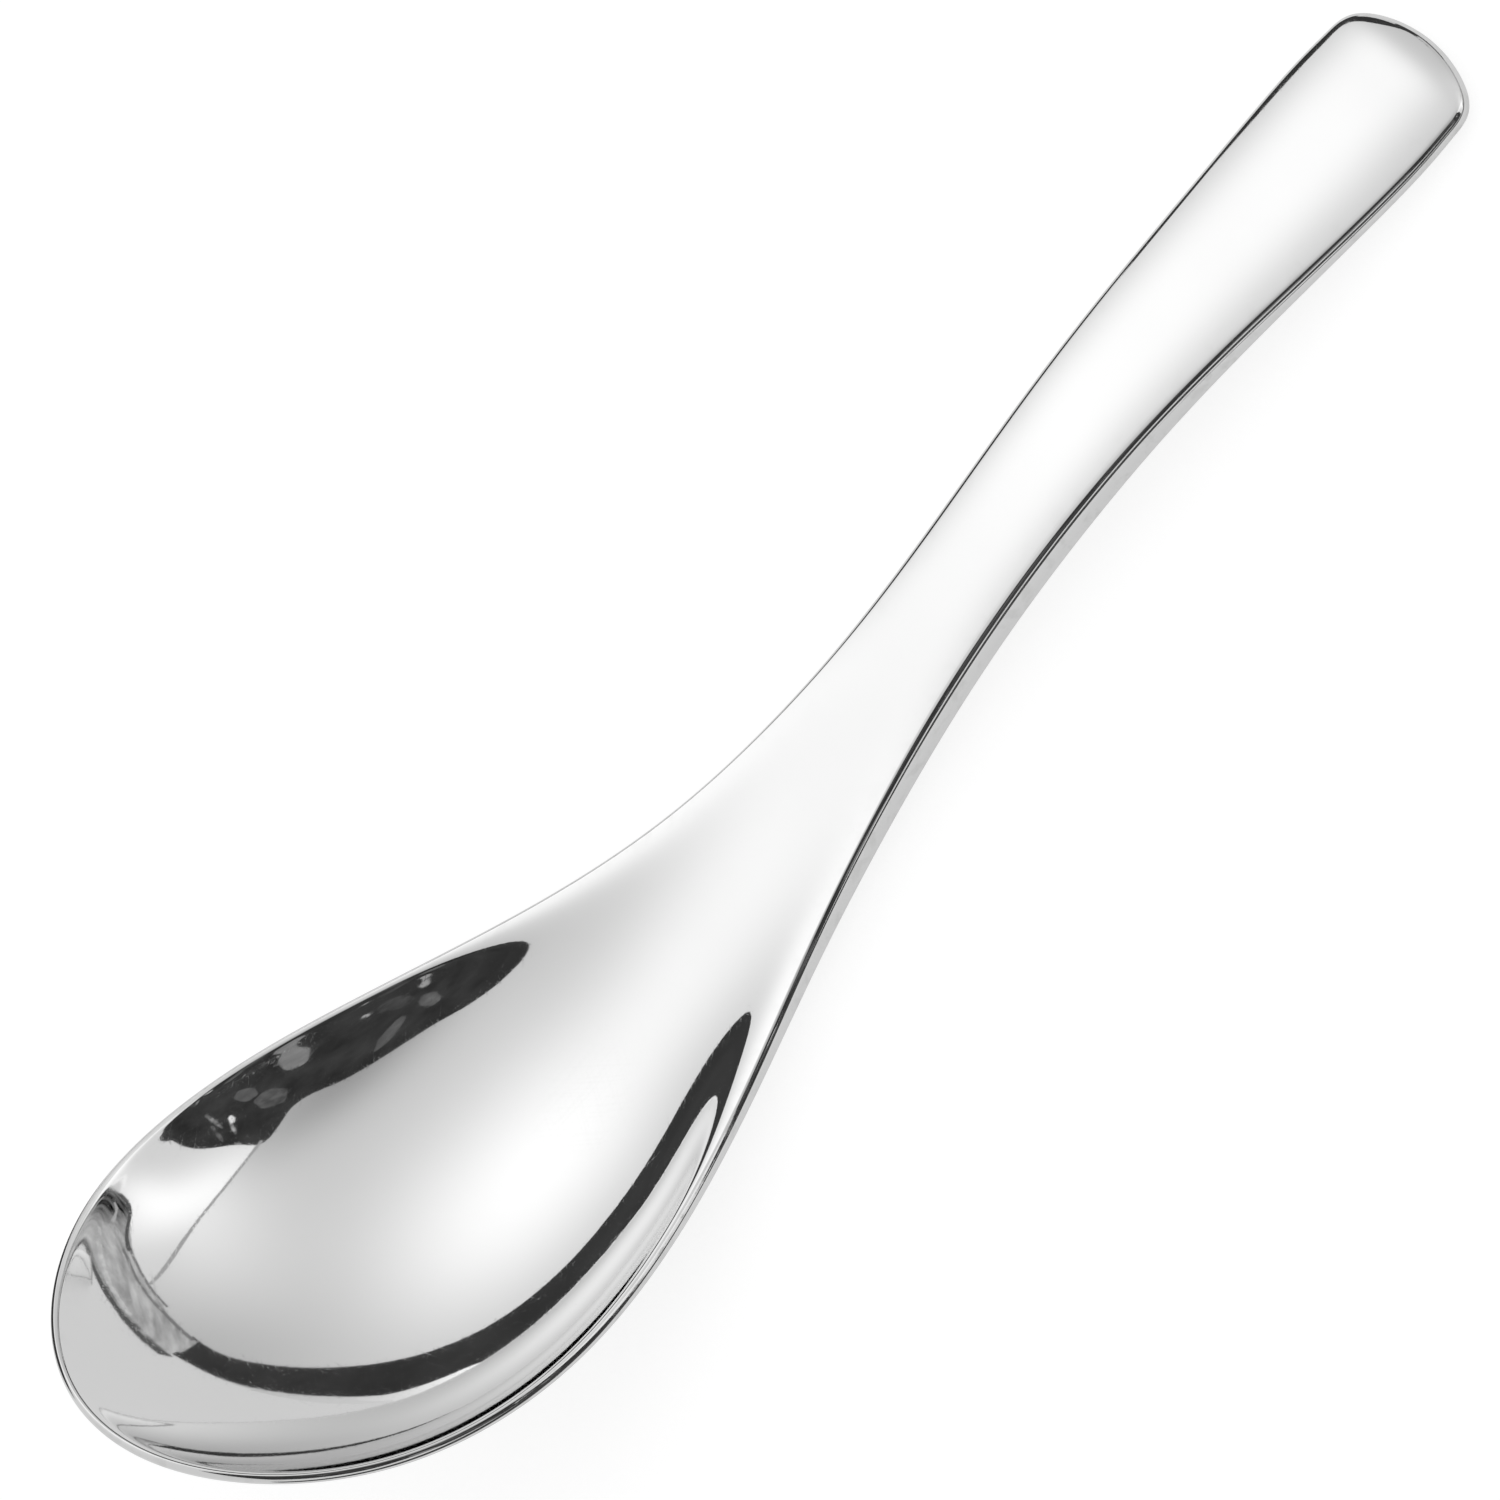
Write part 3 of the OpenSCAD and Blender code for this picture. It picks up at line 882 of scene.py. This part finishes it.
for letter, (place, size, turned, tones) in DIM_SHAPES.items():
    patch("dim_shape_" + letter, place, size, turned, LINE, mottled(*tones))
for letter, (place, size, turned, tones) in GLINTS.items():
    patch("glint_" + letter, place, size, turned, GLINT, tones)
print("in the gap:", len(DIM_SHAPES), "dim shapes and", len(GLINTS), "glints")

# %% [markdown]
# ### Second cloth
#
# To the right of the front opening hangs a second, brighter cloth. Where it overlaps the tent, the
# steel shows one thin grey line. Such a line is worth its trouble: the eye follows it over the
# hollow and reads the depth from it.

# %% Second cloth and seam
card("second_cloth",
     [(38, -34.5), (42, -31.5), (50, -26.8), (60, -20.8), (70, -12.5), (78, -3), (84, 3)],
     [(50.8, -60), (56, -66), (63, -62), (70, -56), (76, -47), (84, -20), (85.5, 0)],
     SECOND, spotted(0.8, [(60, -27, 26, 14, 0.42), (72, -42, 9, 14, 0.25)]))
card("seam",
     [(36, -33.8), (42, -31), (50, -26.3), (60, -20.3), (70, -12), (78, -2.5), (83.5, 3)],
     [(36, -34.9), (42, -32.1), (50, -27.4), (60, -21.4), (70.8, -13), (79, -3.4), (84.3, 2.2)],
     SEAM, plain(0.42), 1)
print("second cloth and its seam")

# %% [markdown]
# ### Side
#
# Between the band and the second cloth hangs a grey side with folds. Its noise is squeezed so that
# it runs along the folds. It turns under in a hook at one end, and dark lines mark its borders.

# %% Grey side with folds
SIDE_DARK, SIDE_PALE, SIDE_PATCHES, ALONG_FOLDS = 0.28, 0.68, 0.7, (1, 0.1)
side_cloth = mottled(SIDE_DARK, SIDE_PALE, SIDE_PATCHES, ALONG_FOLDS)
card("side_folds",
     [(79, 31), (80.5, 26), (82.5, 18), (84, 8), (85, -4), (84.5, -14), (82, -24), (80, -30)],
     [(83.5, 36), (87, 28), (90.5, 16), (93, 4), (94.5, -6), (95, -16), (93, -24), (90, -30)],
     FOLDS, side_cloth, 16)
card("side_edge",
     [(82.8, 37.5), (86.2, 29), (89.8, 17), (92.3, 5), (93.8, -6), (94.2, -15), (95, -19)],
     [(83.8, 37.5), (87.5, 29), (91.2, 17), (93.8, 5), (95.3, -6), (95.7, -15), (96, -19.5)],
     LINE, plain(0.1), 2)
card("side_light",
     [(89.5, 16), (91.5, 5), (92.2, -5), (91.5, -15), (89.5, -26)],
     [(90.1, 16), (92.3, 5), (93.2, -5), (92.7, -15), (91, -26)], LINE, plain(0.75), 1)
print("side with its edge and lit fold")

# %% Lines and hook of the side
def shaded_cloth(f, east, north):
    """The side's own brightness, less a soft shade where the cloth turns under."""
    return side_cloth(f, east, north) - spot(east, north, 81, -42, 9, 13) * 0.4


def thin_line(name, line, wide, level):
    """A line of the same width everywhere, measured eastwards."""
    card(name, line, [(east + wide, north) for east, north in line], LINE, plain(level), 1)


for name, shift in (("side_seam_a", 0.0), ("side_seam_b", 1.7)):
    card(name,
         [(82 + shift, 14), (84 + shift, 5), (84.6 + shift, -5), (84.2 + shift, -17)],
         [(82.6 + shift, 14), (84.6 + shift, 5), (85.2 + shift, -5), (85 + shift, -17)],
         LINE, plain(0.2), 1)
hook = [(84.2, -15), (84, -19), (82, -26), (77.9, -33), (76.4, -40), (77, -46)]
inner_hook = [(87.5, -20), (87, -27), (84, -33), (81, -38), (80, -43)]
card("side_shade", hook,
     [(92, -15), (92, -20), (91.5, -27), (90, -34), (86.5, -40), (79, -49)],
     NEAR_GAP, shaded_cloth, 12)
thin_line("side_border", [(79.2, 30), (80.8, 25), (82.4, 19), (83.4, 14)], 0.8, 0.2)
thin_line("side_hook", hook, 1.3, 0.1)
thin_line("side_hook_inner", inner_hook, 0.9, 0.5)

# %% [markdown]
# ## Camera
#
# A long lens high in front of the bowl looks steeply down, with the handle running away to the
# upper right. Its place and its two directions were worked out from the outline in the photograph,
# in the frame that the spoon was drawn in, so they are laid down together with the spoon.

# %% Camera
CAMERA_PLACE = Vector((3.332, -731.574, 1055.297))
CAMERA_RIGHT = Vector((0.68761, -0.61705, -0.38268))
CAMERA_UP = Vector((0.72359, 0.53876, 0.43145))
FOCAL_LENGTH, SENSOR_WIDTH = 360, 36
NEAREST, FURTHEST = 0.05, 20
scene = bpy.context.scene
camera = bpy.data.objects.new("camera", bpy.data.cameras.new("camera"))
scene.collection.objects.link(camera)
scene.camera = camera
turn = Matrix.Rotation(lie, 3, "Y")
right, up = turn @ CAMERA_RIGHT, turn @ CAMERA_UP
back = right.cross(up)
view = Matrix((right, up, back)).transposed().to_4x4()
view.translation = (turn @ CAMERA_PLACE - Vector(lie_shift)) * MM
camera.matrix_world = view
camera.data.lens, camera.data.sensor_width = FOCAL_LENGTH, SENSOR_WIDTH
camera.data.clip_start, camera.data.clip_end = NEAREST, FURTHEST
print("camera at", [round(v, 4) for v in view.translation])

# %% [markdown]
# ## Light
#
# The light comes evenly from all round, as inside a white tent, a little under the level at which
# white paper would render white. Seen straight on, what lies beyond the paper is plain white. No
# lamp is needed: the bright and dark shapes on the steel come from the cloth and its gaps.

# %% Even light
LIGHT_LEVEL = 0.8
world = bpy.data.worlds.new("studio")
scene.world = world
world.use_nodes = True
links, ground = world.node_tree.links, world.node_tree.nodes["Background"]
rays = world.node_tree.nodes.new("ShaderNodeLightPath")
level = world.node_tree.nodes.new("ShaderNodeMath")
level.operation = "MULTIPLY_ADD"
level.inputs[1].default_value = 1 - LIGHT_LEVEL
level.inputs[2].default_value = LIGHT_LEVEL
links.new(rays.outputs["Is Camera Ray"], level.inputs[0])
links.new(level.outputs[0], ground.inputs["Color"])
ground.inputs["Strength"].default_value = 1.0
scene.view_settings.view_transform = "Standard"
print("even light at", LIGHT_LEVEL)
